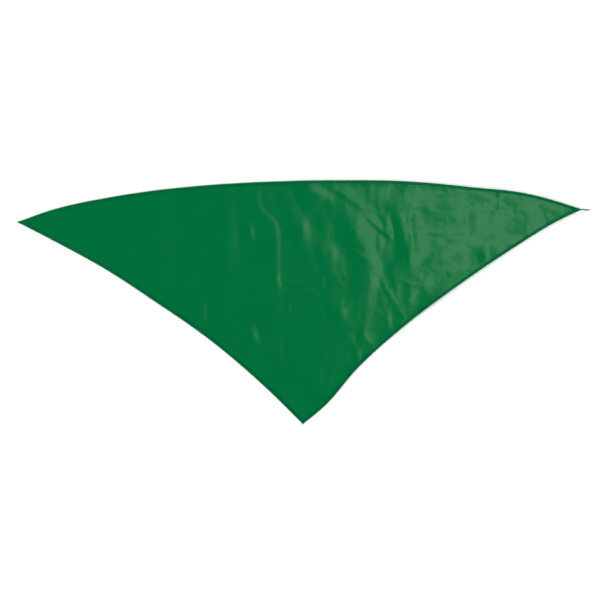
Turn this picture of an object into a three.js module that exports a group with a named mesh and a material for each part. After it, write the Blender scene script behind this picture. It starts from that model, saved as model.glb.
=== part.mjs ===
// Triangular neckerchief in thin satin cloth, lying spread out on a flat surface.
// The long edge is towards +Y and bows outwards, the point is towards -Y, and the face is up.
// All lengths are in millimetres. A share is a part of one of the named sizes.

import * as THREE from 'three';

// Driving dimensions
const SPAN = 1000; // from tip to tip, along X
const POINT_DROP = 369; // from the line of the two tips down to the point
const POINT_SHIFT = 6; // how far the point lies right of the middle
const TIP_RISE = 22; // how much further back the right tip lies than the left one
const CLOTH_THICKNESS = 1.0;
const FOLD_HEIGHT = 2.4; // crest of the tallest fold above the flat cloth
const FOLD_WIDTH = 60; // widest side of a fold, from crest to foot

// The overlocked edge: thread wound round the raw edge of the cloth
const OVERLOCK_WIDTH = 6.0;
const OVERLOCK_WALL = 0.6; // thread above and below the cloth, and round its raw edge
const OVERLOCK_GAP = 0.3; // clearance between thread and cloth on each face
const MITRE_GAP = 0.3; // clearance where two overlocked edges meet at a corner

// How the cloth comes out of the overlocked edge
const LIP = 0.9; // flat cloth kept inside the overlock's inner side
const RAMP = 9; // width over which the cloth comes down to the surface it lies on
const TIP_SETBACK = 9; // the cloth itself ends this far short of each tip, inside the thread

// Grid of the cloth: finer where the folds are
const GRID_ZONES = [
  { until: 0.40, pitch: 17 },
  { until: 0.74, pitch: 9.5 },
  { until: 1.00, pitch: 14 },
];
const CREST_STEPS = 8; // straight steps between two points of a fold's crest

// How far each edge bows outwards from the straight line between its corners.
// at: share of the way along the edge. bow: share of the edge's straight length.
const LONG_EDGE_BOW = [
  { at: 0.00, bow: 0.000 },
  { at: 0.06, bow: 0.020 },
  { at: 0.16, bow: 0.040 },
  { at: 0.30, bow: 0.056 },
  { at: 0.43, bow: 0.062 },
  { at: 0.56, bow: 0.062 },
  { at: 0.68, bow: 0.058 },
  { at: 0.80, bow: 0.045 },
  { at: 0.91, bow: 0.029 },
  { at: 1.00, bow: 0.000 },
];
const LEFT_EDGE_BOW = [
  { at: 0.00, bow: 0.000 },
  { at: 0.10, bow: -0.014 },
  { at: 0.28, bow: -0.035 },
  { at: 0.46, bow: -0.042 },
  { at: 0.64, bow: -0.043 },
  { at: 0.82, bow: -0.028 },
  { at: 1.00, bow: 0.000 },
];
const RIGHT_EDGE_BOW = [
  { at: 0.00, bow: 0.000 },
  { at: 0.08, bow: -0.003 },
  { at: 0.22, bow: -0.031 },
  { at: 0.40, bow: -0.045 },
  { at: 0.60, bow: -0.043 },
  { at: 0.78, bow: -0.032 },
  { at: 0.92, bow: -0.017 },
  { at: 1.00, bow: 0.000 },
];

// Folds, one row each. The crest runs downwards, or to the right.
// crest: points as [share of the span from the left tip, share of the way up to the long edge].
// rise: height at the crest's start, middle and end, as shares of FOLD_HEIGHT.
// west, east: width of the fold's left and right side, as shares of FOLD_WIDTH. Where the crest
// runs to the right they are its lower and upper side.
const FOLDS = [
  {
    name: 'left lip of the centre crease',
    crest: [
      [0.424, 0.96], [0.424, 0.89], [0.444, 0.83], [0.457, 0.74],
      [0.454, 0.54],
    ],
    rise: [0.14, 0.23, 0.18],
    west: 0.77,
    east: 0.16,
  },
  {
    name: 'slanting ridge',
    crest: [
      [0.481, 0.93], [0.489, 0.86], [0.496, 0.79], [0.506, 0.73],
      [0.519, 0.67], [0.526, 0.62],
    ],
    rise: [0.28, 0.53, 0.08],
    west: 0.38,
    east: 0.65,
  },
  {
    name: 'short fold low on the left',
    crest: [[0.400, 0.27], [0.402, 0.21], [0.412, 0.16]],
    rise: [0.08, 0.44, 0.10],
    west: 0.27,
    east: 0.24,
  },
  {
    name: 'fold right of the slanting ridge',
    crest: [[0.501, 0.99], [0.506, 0.95], [0.511, 0.91]],
    rise: [0.32, 0.35, 0.11],
    west: 0.27,
    east: 0.59,
  },
  {
    name: 'lower lip of the slanting valley',
    crest: [[0.519, 0.97], [0.548, 0.91], [0.576, 0.85]],
    rise: [0.11, 0.17, 0.07],
    west: 0.29,
    east: 0.29,
  },
  {
    name: 'upper lip of the slanting valley',
    crest: [[0.551, 0.98], [0.576, 0.94], [0.600, 0.89], [0.613, 0.85]],
    rise: [0.13, 0.21, 0.10],
    west: 0.15,
    east: 0.41,
  },
  {
    name: 'upright crease under the long edge',
    crest: [[0.640, 0.98], [0.640, 0.90], [0.643, 0.80]],
    rise: [0.21, 0.26, 0.11],
    west: 0.65,
    east: 0.53,
  },
  {
    name: 'upper fold of the right part',
    crest: [[0.767, 0.96], [0.797, 0.96], [0.829, 0.98]],
    rise: [0.06, 0.16, 0.06],
    west: 0.35,
    east: 0.24,
  },
  {
    name: 'swell left of the main ridge',
    crest: [[0.536, 0.75], [0.541, 0.67], [0.548, 0.58]],
    rise: [0.10, 0.60, 0.11],
    west: 0.27,
    east: 0.62,
  },
  {
    name: 'main ridge',
    crest: [
      [0.588, 0.86], [0.596, 0.80], [0.603, 0.73], [0.613, 0.66],
      [0.623, 0.59],
    ],
    rise: [0.35, 0.99, 0.28],
    west: 0.88,
    east: 0.80,
  },
  {
    name: 'lip before the dark valley',
    crest: [[0.658, 0.77], [0.660, 0.70], [0.665, 0.62]],
    rise: [0.14, 0.32, 0.07],
    west: 0.21,
    east: 0.18,
  },
  {
    name: 'far lip of the dark valley',
    crest: [
      [0.675, 0.81], [0.685, 0.73], [0.692, 0.64], [0.697, 0.55],
      [0.695, 0.46], [0.690, 0.37],
    ],
    rise: [0.35, 0.89, 0.21],
    west: 0.38,
    east: 0.71,
  },
  {
    name: 'slanting crease to the lower edge',
    crest: [
      [0.643, 0.50], [0.650, 0.43], [0.660, 0.34], [0.672, 0.25],
      [0.685, 0.15], [0.697, 0.06],
    ],
    rise: [0.07, 0.16, 0.10],
    west: 0.15,
    east: 0.15,
  },
  {
    name: 'lower fold',
    crest: [[0.556, 0.47], [0.561, 0.37], [0.588, 0.21]],
    rise: [0.14, 0.43, 0.11],
    west: 0.24,
    east: 0.59,
  },
  {
    name: 'fold near the lower edge',
    crest: [[0.618, 0.18], [0.620, 0.09]],
    rise: [0.14, 0.39, 0.14],
    west: 0.24,
    east: 0.41,
  },
  {
    name: 'short fold at the lower edge',
    crest: [[0.605, 0.12], [0.605, 0.04]],
    rise: [0.11, 0.32, 0.14],
    west: 0.18,
    east: 0.21,
  },
  {
    name: 'low fold along the right part',
    crest: [[0.734, 0.79], [0.767, 0.71], [0.801, 0.67], [0.844, 0.60]],
    rise: [0.07, 0.17, 0.07],
    west: 0.24,
    east: 0.29,
  },
  {
    name: 'slanting fold of the right part',
    crest: [[0.744, 0.36], [0.767, 0.40], [0.797, 0.45], [0.826, 0.48]],
    rise: [0.14, 0.30, 0.14],
    west: 0.47,
    east: 0.35,
  },
  {
    name: 'short slanting fold at the right edge',
    crest: [[0.821, 0.08], [0.836, 0.16], [0.851, 0.23]],
    rise: [0.10, 0.24, 0.10],
    west: 0.38,
    east: 0.41,
  },
  {
    name: 'level fold towards the right edge',
    crest: [[0.839, 0.40], [0.861, 0.35], [0.888, 0.26]],
    rise: [0.11, 0.30, 0.11],
    west: 0.27,
    east: 0.24,
  },
  {
    name: 'pucker at the right edge',
    crest: [[0.836, 0.21], [0.841, 0.04]],
    rise: [0.08, 0.21, 0.14],
    west: 0.24,
    east: 0.38,
  },
  {
    name: 'broad rise above the right edge',
    crest: [[0.737, 0.03], [0.777, 0.03], [0.814, 0.06]],
    rise: [0.35, 0.67, 0.28],
    west: 1.30,
    east: 0.47,
  },
  {
    name: 'upright crease near the tip',
    crest: [[0.854, 1.02], [0.856, 0.86], [0.859, 0.69]],
    rise: [0.10, 0.17, 0.07],
    west: 0.15,
    east: 0.53,
  },
  {
    name: 'fold towards the right tip',
    crest: [[0.928, 0.78], [0.930, 0.47], [0.928, 0.18]],
    rise: [0.18, 0.31, 0.18],
    west: 0.38,
    east: 0.44,
  },
  {
    name: 'broad wave in the left part',
    crest: [[0.253, 0.96], [0.238, 0.49], [0.236, 0.12]],
    rise: [0.35, 0.71, 0.28],
    west: 0.83,
    east: 0.59,
  },
  {
    name: 'short fold at the left edge',
    crest: [[0.310, 0.25], [0.310, 0.16], [0.308, 0.05]],
    rise: [0.07, 0.35, 0.11],
    west: 0.41,
    east: 0.21,
  },
  {
    name: 'wave beside the left tip',
    crest: [[0.132, 0.93], [0.132, 0.43]],
    rise: [0.21, 0.43, 0.21],
    west: 0.65,
    east: 0.65,
  },
  {
    name: 'wave left of the centre',
    crest: [[0.362, 0.94], [0.365, 0.68], [0.357, 0.39]],
    rise: [0.21, 0.43, 0.21],
    west: 0.59,
    east: 0.47,
  },
];

// Colours and finish
const SATIN_GREEN = new THREE.MeshStandardMaterial({ color: 0x077038, roughness: 0.4, metalness: 0 });
const THREAD_GREEN = new THREE.MeshStandardMaterial({ color: 0x045a30, roughness: 0.75, metalness: 0 });

// Corners, in a frame whose X axis is the line between the tips
const TIP_LEFT = new THREE.Vector2(-SPAN / 2, -TIP_RISE / 2);
const TIP_RIGHT = new THREE.Vector2(SPAN / 2, TIP_RISE / 2);
const POINT = new THREE.Vector2(POINT_SHIFT, -POINT_DROP);

// Height of the whole overlock, and of the cloth's underside inside it
const CLOTH_LEVEL = OVERLOCK_WALL + OVERLOCK_GAP;
const OVERLOCK_HEIGHT = 2 * CLOTH_LEVEL + CLOTH_THICKNESS;

const clamp = THREE.MathUtils.clamp;

// Slope of the smooth curve through a table of stations, at each station.
function stationSlopes(stations) {
  const steps = stations.slice(1).map((next, i) => next.at - stations[i].at);
  const chords = steps.map((step, i) => (stations[i + 1].bow - stations[i].bow) / step);
  const last = chords.length - 1;
  const slopes = stations.map((_, i) => {
    if (i === 0 || i > last) return 0;
    return (chords[i - 1] * steps[i] + chords[i] * steps[i - 1]) / (steps[i - 1] + steps[i]);
  });
  slopes[0] = 1.5 * chords[0] - 0.5 * slopes[1];
  slopes[last + 1] = 1.5 * chords[last] - 0.5 * slopes[last];
  return slopes;
}

// One edge of the triangle, seen from above. side is 1 where the cloth lies left of the
// direction of travel, and -1 where it lies right of it.
class Edge {
  constructor(from, to, stations, side) {
    this.from = from;
    this.along = to.clone().sub(from);
    this.length = this.along.length();
    this.along.divideScalar(this.length);
    this.side = side;
    this.stations = stations;
    this.slopes = stationSlopes(stations);
  }

  bow(share) {
    const last = this.stations.length - 2;
    const found = this.stations.findIndex((station) => station.at > share) - 1;
    const i = found < 0 ? last : Math.min(found, last);
    const a = this.stations[i];
    const b = this.stations[i + 1];
    const step = b.at - a.at;
    const u = (share - a.at) / step;
    const bend = u * u * (3 - 2 * u);
    const rise = u * (1 - u) * step * ((1 - u) * this.slopes[i] - u * this.slopes[i + 1]);
    return a.bow + bend * (b.bow - a.bow) + rise;
  }

  at(share) {
    const outwards = this.perpendicular(this.along).multiplyScalar(-this.bow(share) * this.length);
    return this.from.clone().addScaledVector(this.along, share * this.length).add(outwards);
  }

  perpendicular(direction) {
    return new THREE.Vector2(-direction.y, direction.x).multiplyScalar(this.side);
  }

  direction(share) {
    const near = 0.002;
    const a = Math.max(share - near, 0);
    const b = Math.min(share + near, 1);
    return this.at(b).sub(this.at(a)).normalize();
  }

  // The point that lies inside the edge by a given distance.
  inside(share, distance) {
    const inwards = this.perpendicular(this.direction(share));
    return this.at(share).addScaledVector(inwards, distance);
  }
}

const longEdge = new Edge(TIP_LEFT, TIP_RIGHT, LONG_EDGE_BOW, -1);
const leftEdge = new Edge(TIP_LEFT, POINT, LEFT_EDGE_BOW, 1);
const rightEdge = new Edge(POINT, TIP_RIGHT, RIGHT_EDGE_BOW, 1);

// Share of the long edge that lies straight above the point
const POINT_SHARE = POINT.clone().sub(TIP_LEFT).dot(longEdge.along) / longEdge.length;

// Half the angle between two edges at the corner where they meet.
function halfAngle(edgeA, shareA, edgeB, shareB) {
  const a = edgeA.direction(shareA).multiplyScalar(shareA === 0 ? 1 : -1);
  const b = edgeB.direction(shareB).multiplyScalar(shareB === 0 ? 1 : -1);
  return Math.acos(clamp(a.dot(b), -1, 1)) / 2;
}

const LEFT_TIP_HALF = halfAngle(longEdge, 0, leftEdge, 0);
const RIGHT_TIP_HALF = halfAngle(longEdge, 1, rightEdge, 1);
const POINT_HALF = halfAngle(leftEdge, 1, rightEdge, 0);

// The short edge below a column of the cloth, and the column's share of that edge.
function below(column) {
  if (column <= POINT_SHARE) return [leftEdge, column / POINT_SHARE];
  return [rightEdge, (column - POINT_SHARE) / (1 - POINT_SHARE)];
}

// A place on the cloth from its shares: across the span, and up from the short edge.
function place(column, up) {
  const [edge, share] = below(column);
  return edge.at(share).lerp(longEdge.at(column), up);
}

// Height of the folds

const crests = FOLDS.map((fold) => {
  const points = fold.crest.map(([column, up]) => place(column, up));
  const steps = CREST_STEPS * (points.length - 1);
  return { fold, line: new THREE.SplineCurve(points).getPoints(steps) };
});

// Nearest place on a fold's crest: distance, side from -1 (west) to 1 (east), and share of
// the way along.
function nearestOnCrest(line, point) {
  let best = { distance: Infinity, side: 0, share: 0 };
  for (let i = 0; i < line.length - 1; i += 1) {
    const step = line[i + 1].clone().sub(line[i]);
    const offset = point.clone().sub(line[i]);
    const u = clamp(offset.dot(step) / step.lengthSq(), 0, 1);
    const distance = offset.clone().addScaledVector(step, -u).length();
    if (distance < best.distance) {
      const side = distance > 0 ? step.cross(offset) / (step.length() * distance) : 0;
      best = { distance, side, share: (i + u) / (line.length - 1) };
    }
  }
  return best;
}

// Height of the crest between its start, middle and end.
function crestRise(rise, share) {
  const half = share < 0.5 ? 0 : 1;
  const u = THREE.MathUtils.smoothstep(share * 2 - half, 0, 1);
  return rise[half] + (rise[half + 1] - rise[half]) * u;
}

// Height of the folds above the flat cloth at a point seen from above.
function lift(point) {
  let height = 0;
  for (const { fold, line } of crests) {
    const near = nearestOnCrest(line, point);
    const width = FOLD_WIDTH * THREE.MathUtils.lerp(fold.west, fold.east, 0.5 + 0.5 * near.side);
    const down = 1 - THREE.MathUtils.smoothstep(near.distance / width, 0, 1);
    height += FOLD_HEIGHT * crestRise(fold.rise, near.share) * down;
  }
  return height;
}

// Columns of the cloth, as shares of the span. One column runs through the point, and the
// outer two end short of the tips.
function columnShares() {
  const shares = [TIP_SETBACK / SPAN];
  let start = 0;
  for (const zone of GRID_ZONES) {
    const count = Math.max(1, Math.round((zone.until - start) * SPAN / zone.pitch));
    for (let i = 1; i <= count; i += 1) {
      shares.push(start + (zone.until - start) * i / count);
    }
    start = zone.until;
  }
  shares[shares.length - 1] = 1 - TIP_SETBACK / SPAN;
  const gaps = shares.map((share) => Math.abs(share - POINT_SHARE));
  shares[gaps.indexOf(Math.min(...gaps))] = POINT_SHARE;
  return shares;
}

const COLUMNS = columnShares();

function zonePitch(column) {
  return GRID_ZONES.find((zone) => column <= zone.until).pitch;
}

// How far the cloth's underside is held up by the thread below it, near an edge.
function heldUp(distance) {
  const full = OVERLOCK_WIDTH + LIP;
  return CLOTH_LEVEL * (1 - THREE.MathUtils.smoothstep(distance, full, full + RAMP));
}

// The points of one column from the short edge up to the long edge, with their place in the
// column from 0 to 1 and the height of the cloth's underside.
function columnPoints(column) {
  const [edge, share] = below(column);
  const width = edge.at(share).distanceTo(longEdge.at(column));
  const atPoint = column === POINT_SHARE;
  const border = CLOTH_LEVEL;
  const inner = Math.min(OVERLOCK_WIDTH + LIP, 0.4 * width);
  const fromBelow = (distance) => {
    if (!atPoint) return edge.inside(share, distance);
    return POINT.clone().add(new THREE.Vector2(0, distance / Math.sin(POINT_HALF)));
  };
  const low = fromBelow(inner);
  const high = longEdge.inside(column, inner);
  const run = low.distanceTo(high);
  const rows = Math.max(1, Math.round(run / zonePitch(column)));
  const slant = atPoint ? Math.sin(POINT_HALF) : Math.abs(edge.direction(share).x);
  const points = [{ at: 0, flat: fromBelow(border), edgeGap: border }];
  for (let i = 0; i <= rows; i += 1) {
    const u = i / rows;
    const edgeGap = inner + Math.min(u * run * slant, (1 - u) * run);
    points.push({ at: 0.001 + 0.998 * u, flat: low.clone().lerp(high, u), edgeGap });
  }
  points.push({ at: 1, flat: longEdge.inside(column, border), edgeGap: border });
  for (const point of points) point.height = lift(point.flat) + heldUp(point.edgeGap);
  return points;
}

// Triangles between two neighbouring columns that may hold different numbers of points.
function zip(left, right, add) {
  let i = 0;
  let j = 0;
  while (i < left.length - 1 || j < right.length - 1) {
    const stepLeft = j === right.length - 1
      || (i < left.length - 1 && left[i + 1].at <= right[j + 1].at);
    if (stepLeft) {
      add(left[i], right[j], left[i + 1]);
      i += 1;
    } else {
      add(left[i], right[j], right[j + 1]);
      j += 1;
    }
  }
}

function solidFrom(positions, faces) {
  const geometry = new THREE.BufferGeometry();
  geometry.setAttribute('position', new THREE.Float32BufferAttribute(positions, 3));
  geometry.setIndex(faces);
  geometry.computeVertexNormals();
  return geometry;
}

// The cloth: one sheet with a top and an underside, closed round its edge.
function clothPanel() {
  const positions = [];
  const faces = [];
  const columns = COLUMNS.map(columnPoints);
  for (const point of columns.flat()) {
    point.under = positions.length / 3;
    positions.push(point.flat.x, point.flat.y, point.height);
    positions.push(point.flat.x, point.flat.y, point.height + CLOTH_THICKNESS);
  }
  const bothSides = (a, b, c) => {
    faces.push(a.under + 1, b.under + 1, c.under + 1);
    faces.push(a.under, c.under, b.under);
  };
  for (let i = 0; i < columns.length - 1; i += 1) zip(columns[i], columns[i + 1], bothSides);

  const lastColumn = columns[columns.length - 1];
  const rim = [
    ...columns.map((column) => column[0]),
    ...lastColumn.slice(1),
    ...columns.slice(0, -1).reverse().map((column) => column[column.length - 1]),
    ...columns[0].slice(1, -1).reverse(),
  ];
  rim.forEach((point, i) => {
    const next = rim[(i + 1) % rim.length];
    faces.push(point.under, next.under, next.under + 1);
    faces.push(point.under, next.under + 1, point.under + 1);
  });
  return solidFrom(positions, faces);
}

// Section of the overlock as [distance inside the edge, height], round the raw edge of the
// cloth: a wall above, a wall below and a wall outside, open towards the cloth.
function overlockSection() {
  const chamfer = OVERLOCK_WALL * 0.8;
  const slotTop = OVERLOCK_HEIGHT - OVERLOCK_WALL;
  return [
    [chamfer, 0],
    [OVERLOCK_WIDTH, 0],
    [OVERLOCK_WIDTH, OVERLOCK_WALL],
    [OVERLOCK_WALL, OVERLOCK_WALL],
    [OVERLOCK_WALL, slotTop],
    [OVERLOCK_WIDTH, slotTop],
    [OVERLOCK_WIDTH, OVERLOCK_HEIGHT],
    [chamfer, OVERLOCK_HEIGHT],
    [0, OVERLOCK_HEIGHT - chamfer],
    [0, chamfer],
  ].map(([inside, height]) => new THREE.Vector2(inside, height));
}

// Where a section's point lies at a mitred corner: on a line beside the corner's bisector.
function mitreShare(edge, corner, inside, half) {
  const back = inside / Math.tan(half) + MITRE_GAP / 2 / Math.sin(half);
  return corner === 0 ? back / edge.length : 1 - back / edge.length;
}

// One overlocked edge: the section swept along the edge, with mitred ends.
function overlock(edge, shares, startHalf, endHalf) {
  const section = overlockSection();
  const rings = shares.map((share) => section.map(() => share));
  rings.unshift(section.map((corner) => mitreShare(edge, 0, corner.x, startHalf)));
  rings.push(section.map((corner) => mitreShare(edge, 1, corner.x, endHalf)));

  const positions = [];
  for (const ring of rings) {
    section.forEach((corner, i) => {
      const flat = edge.inside(ring[i], corner.x);
      positions.push(flat.x, flat.y, lift(flat) + corner.y);
    });
  }
  const count = section.length;
  const faces = [];
  const face = (a, b, c) => {
    if (edge.side > 0) faces.push(a, c, b);
    else faces.push(a, b, c);
  };
  for (let ring = 0; ring < rings.length - 1; ring += 1) {
    for (let i = 0; i < count; i += 1) {
      const j = (i + 1) % count;
      const a = ring * count + i;
      const b = ring * count + j;
      face(a, a + count, b + count);
      face(a, b + count, b);
    }
  }
  const last = (rings.length - 1) * count;
  for (const [a, b, c] of THREE.ShapeUtils.triangulateShape(section, [])) {
    face(a, b, c);
    face(last + a, last + c, last + b);
  }
  return solidFrom(positions, faces);
}

// Stations of an overlocked edge: the cloth's own columns, kept clear of the mitres.
function stationsOn(shares, edge, startHalf, endHalf) {
  const clear = 1.3;
  const first = mitreShare(edge, 0, OVERLOCK_WIDTH, startHalf) * clear;
  const last = 1 - (1 - mitreShare(edge, 1, OVERLOCK_WIDTH, endHalf)) * clear;
  return shares.filter((share) => share > first && share < last);
}

function overlockMesh(name, edge, shares, startHalf, endHalf) {
  const stations = stationsOn(shares, edge, startHalf, endHalf);
  const mesh = new THREE.Mesh(overlock(edge, stations, startHalf, endHalf), THREAD_GREEN);
  mesh.name = name;
  return mesh;
}

const leftShares = COLUMNS.filter((column) => column < POINT_SHARE).map((column) => below(column)[1]);
const rightShares = COLUMNS.filter((column) => column > POINT_SHARE).map((column) => below(column)[1]);

const cloth = new THREE.Mesh(clothPanel(), SATIN_GREEN);
cloth.name = 'cloth_panel';

// The pieces, moved so that the origin lies under the middle of the whole outline
const spread = new THREE.Group();
spread.add(cloth);
spread.add(overlockMesh('long_edge_overlock', longEdge, COLUMNS, LEFT_TIP_HALF, RIGHT_TIP_HALF));
spread.add(overlockMesh('left_edge_overlock', leftEdge, leftShares, LEFT_TIP_HALF, POINT_HALF));
spread.add(overlockMesh('right_edge_overlock', rightEdge, rightShares, POINT_HALF, RIGHT_TIP_HALF));

const outline = new THREE.Box3().setFromObject(spread);
const middle = outline.getCenter(new THREE.Vector3());
spread.position.set(-middle.x, -middle.y, -outline.min.z);

const neckerchief = new THREE.Group();
neckerchief.add(spread);

export default neckerchief;
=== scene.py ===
"""Looks of a triangular satin neckerchief that lies spread out, seen from straight above."""

import math

import bpy
import numpy as np
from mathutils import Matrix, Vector
from bpy.props import FloatProperty, FloatVectorProperty, IntProperty, PointerProperty, StringProperty


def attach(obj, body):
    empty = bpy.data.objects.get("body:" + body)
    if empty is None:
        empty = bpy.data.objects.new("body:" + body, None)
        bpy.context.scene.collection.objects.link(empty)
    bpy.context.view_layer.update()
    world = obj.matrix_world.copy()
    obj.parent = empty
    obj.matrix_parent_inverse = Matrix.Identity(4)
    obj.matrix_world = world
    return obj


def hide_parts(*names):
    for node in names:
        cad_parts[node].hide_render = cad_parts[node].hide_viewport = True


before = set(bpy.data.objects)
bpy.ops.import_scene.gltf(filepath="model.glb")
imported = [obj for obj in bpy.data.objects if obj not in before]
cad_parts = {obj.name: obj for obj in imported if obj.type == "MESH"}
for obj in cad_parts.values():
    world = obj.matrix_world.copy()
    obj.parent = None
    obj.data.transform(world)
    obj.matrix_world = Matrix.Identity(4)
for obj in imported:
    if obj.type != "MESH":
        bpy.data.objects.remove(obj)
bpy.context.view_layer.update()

bl_info = {
    "name": "Neckerchief",
    "version": (1, 0, 0),
    "blender": (4, 5, 0),
    "location": "3D View > Sidebar > Neckerchief",
    "description": "A satin neckerchief with overlocked edges, its thread chain and a plain studio",
    "category": "Object",
}

MM = 0.001
BODY = "root"
THREAD_FLATNESS = 0.5  # height of the wound thread, pressed flat, as a share of its width
SHORT_EDGE_LEAN = math.radians(36)  # how far the short edges turn away from the X axis
TIP_ANGLE = math.radians(26)  # from an edge to the mitre that its thread keeps to at a tip
POINT_ANGLE = math.radians(50)  # the same at the point
WEAVE_TURNS = (-36, 38)  # how far the two sets of threads turn from the X axis, in degrees

# Outline, as shares: how far along an edge, and how far it bows outwards
LONG_EDGE_BOW = (
    (0.00, 0.000), (0.06, 0.020), (0.16, 0.040), (0.30, 0.056), (0.43, 0.062),
    (0.56, 0.062), (0.68, 0.058), (0.80, 0.045), (0.91, 0.029), (1.00, 0.000),
)
LEFT_EDGE_BOW = (
    (0.00, 0.000), (0.10, -0.014), (0.28, -0.035), (0.46, -0.042),
    (0.64, -0.043), (0.82, -0.028), (1.00, 0.000),
)
RIGHT_EDGE_BOW = (
    (0.00, 0.000), (0.08, -0.003), (0.22, -0.031), (0.40, -0.045),
    (0.60, -0.043), (0.78, -0.032), (0.92, -0.017), (1.00, 0.000),
)

# Folds. Each row: name, crest points (x, y), height at the crest's start, middle and end, width
# of the west side and width of the east side, in millimetres. Where a crest runs to the right,
# west is its lower side and east its upper side.
# The long crease down the centre and what lies beside it
CENTRE_FOLDS = (
    ("left lip of the centre crease",
     ((-75, 197), (-75, 174), (-68, 160), (-56, 149), (-45, 135), (-42, 110), (-42, 71), (-40, 36)),
     (0.34, 0.54, 0.44), 46, 10),
    ("lower run of the centre crease",
     ((-40, 32), (-40, 0), (-38, -49)), (0.24, 0.2, 0.09), 28, 9),
    ("left branch",
     ((-40, 43), (-56, 25)), (0.37, 0.34, 0.1), 7, 7),
    ("right branch",
     ((-29, 41), (-3, 32), (26, 29)), (0.2, 0.24, 0.1), 5, 5),
    ("spindle left of the crease",
     ((-89, 142), (-89, 123), (-88, 103)), (0.2, 0.94, 0.2), 16, 13),
    ("hook beside the top of the crease",
     ((-59, 199), (-54, 188)), (0.09, 0.2, 0.09), 7, 7),
    ("slanting ridge",
     ((-20, 184), (-12, 156), (-3, 126), (8, 101), (20, 80), (27, 59)), (0.68, 1.27, 0.2), 23, 39),
    ("bright core of the slanting ridge",
     ((3, 147), (6, 130), (8, 108)), (0.1, 0.44, 0.14), 14, 14),
    ("streak low on the left",
     ((-89, -37), (-84, -60), (-75, -85)), (0.2, 1.05, 0.24), 16, 14),
    ("tail of the streak",
     ((-89, -77), (-95, -102)), (0.1, 0.41, 0.1), 9, 11),
    ("short mark beside the centre",
     ((-19, 6), (-19, -24)), (0.09, 0.27, 0.09), 9, 6),
    ("bright end of the crease",
     ((-35, -63), (-35, -109)), (0.09, 0.31, 0.09), 11, 7),
    ("faint fold above the point",
     ((35, -106), (35, -152)), (0.09, 0.34, 0.09), 14, 9),
    ("crease under the right branch",
     ((1, 25), (33, 11), (56, 4)), (0.09, 0.2, 0.09), 7, 7),
)
# Folds that run down from the long edge
TOP_FOLDS = (
    ("fold right of the slanting ridge",
     ((1, 209), (6, 195), (12, 177)), (1.19, 1.36, 0.51), 16, 42),
    ("broad swell under the long edge",
     ((20, 211), (27, 190), (40, 169)), (1.36, 1.7, 0.68), 39, 99),
    ("lower lip of the slanting valley",
     ((19, 202), (47, 181), (75, 163)), (0.26, 0.41, 0.17), 18, 18),
    ("upper lip of the slanting valley",
     ((49, 207), (73, 193), (98, 177), (111, 167)), (0.31, 0.51, 0.24), 9, 25),
    ("short mark under the edge",
     ((125, 207), (125, 184)), (0.14, 0.24, 0.1), 9, 11),
    ("vertical crease at the bright part",
     ((139, 211), (139, 184), (139, 156)), (0.51, 0.61, 0.27), 39, 32),
    ("step in the bright part",
     ((185, 207), (185, 186)), (0.1, 0.24, 0.09), 7, 23),
    ("low lip over the long level crease",
     ((148, 170), (249, 169), (355, 169), (419, 170)), (0.17, 0.37, 0.2), 8, 21),
    ("upper fold of the right part",
     ((266, 200), (295, 199), (327, 199)), (0.14, 0.37, 0.14), 21, 14),
)
# The crumpled part right of the centre
CRUMPLED_FOLDS = (
    ("faint swell between the ridges",
     ((42, 149), (45, 110)), (0.17, 0.37, 0.17), 14, 18),
    ("patch in the dark hollow",
     ((38, 110), (45, 80), (58, 46)), (0.27, 1.44, 0.41), 18, 44),
    ("core of the patch",
     ((56, 96), (58, 71)), (0.14, 0.37, 0.14), 11, 12),
    ("thin line below the patch",
     ((41, 71), (41, 46), (41, 18)), (0.07, 0.27, 0.07), 7, 6),
    ("main ridge",
     ((86, 167), (93, 146), (100, 124), (109, 105), (119, 84)), (0.85, 2.38, 0.68), 42, 48),
    ("lower part of the main ridge",
     ((111, 100), (121, 78), (125, 57), (123, 38), (118, 18), (114, -3), (114, -24)),
     (0.51, 1.44, 0.51), 42, 23),
    ("arch on the main ridge",
     ((100, 87), (111, 80), (123, 78)), (0.1, 0.24, 0.1), 6, 6),
    ("slanting mark right of the ridge",
     ((125, 146), (142, 130), (160, 115)), (0.44, 0.78, 0.41), 7, 12),
    ("upright mark right of the ridge",
     ((142, 123), (142, 92)), (0.17, 0.44, 0.17), 8, 11),
    ("lip before the dark valley",
     ((153, 149), (157, 128), (160, 107)), (0.34, 0.77, 0.17), 12, 11),
    ("far lip of the dark valley",
     ((171, 163), (181, 142), (187, 119), (190, 98), (187, 75), (181, 48)), (0.85, 2.12, 0.51), 23, 42),
    ("thin ridge below the valley",
     ((167, 64), (171, 30), (173, -7)), (0.1, 0.24, 0.1), 9, 11),
    ("second thin ridge below the valley",
     ((194, 38), (194, 7), (192, -24)), (0.14, 0.34, 0.17), 11, 14),
    ("curved mark below the valley",
     ((180, 39), (194, 32), (212, 30)), (0.14, 0.31, 0.14), 6, 6),
    ("slanting crease to the lower edge",
     ((137, 64), (144, 46), (153, 25), (164, 6), (174, -12), (185, -28)), (0.17, 0.37, 0.24), 8, 7),
    ("lower fold",
     ((58, 7), (66, -24), (88, -62)), (0.34, 1.02, 0.26), 18, 46),
    ("mark on the lower fold",
     ((72, -3), (73, -35)), (0.1, 0.34, 0.1), 11, 12),
    ("arch on the lower fold",
     ((79, -19), (88, -1), (104, 2)), (0.1, 0.27, 0.1), 7, 7),
    ("fold near the lower edge",
     ((112, -49), (114, -79)), (0.34, 0.94, 0.34), 14, 25),
    ("mark at the lower edge",
     ((102, -81), (100, -106)), (0.26, 0.77, 0.34), 11, 12),
    ("small mark near the lower edge",
     ((155, -24), (157, -47)), (0.17, 0.44, 0.17), 9, 9),
)
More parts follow.
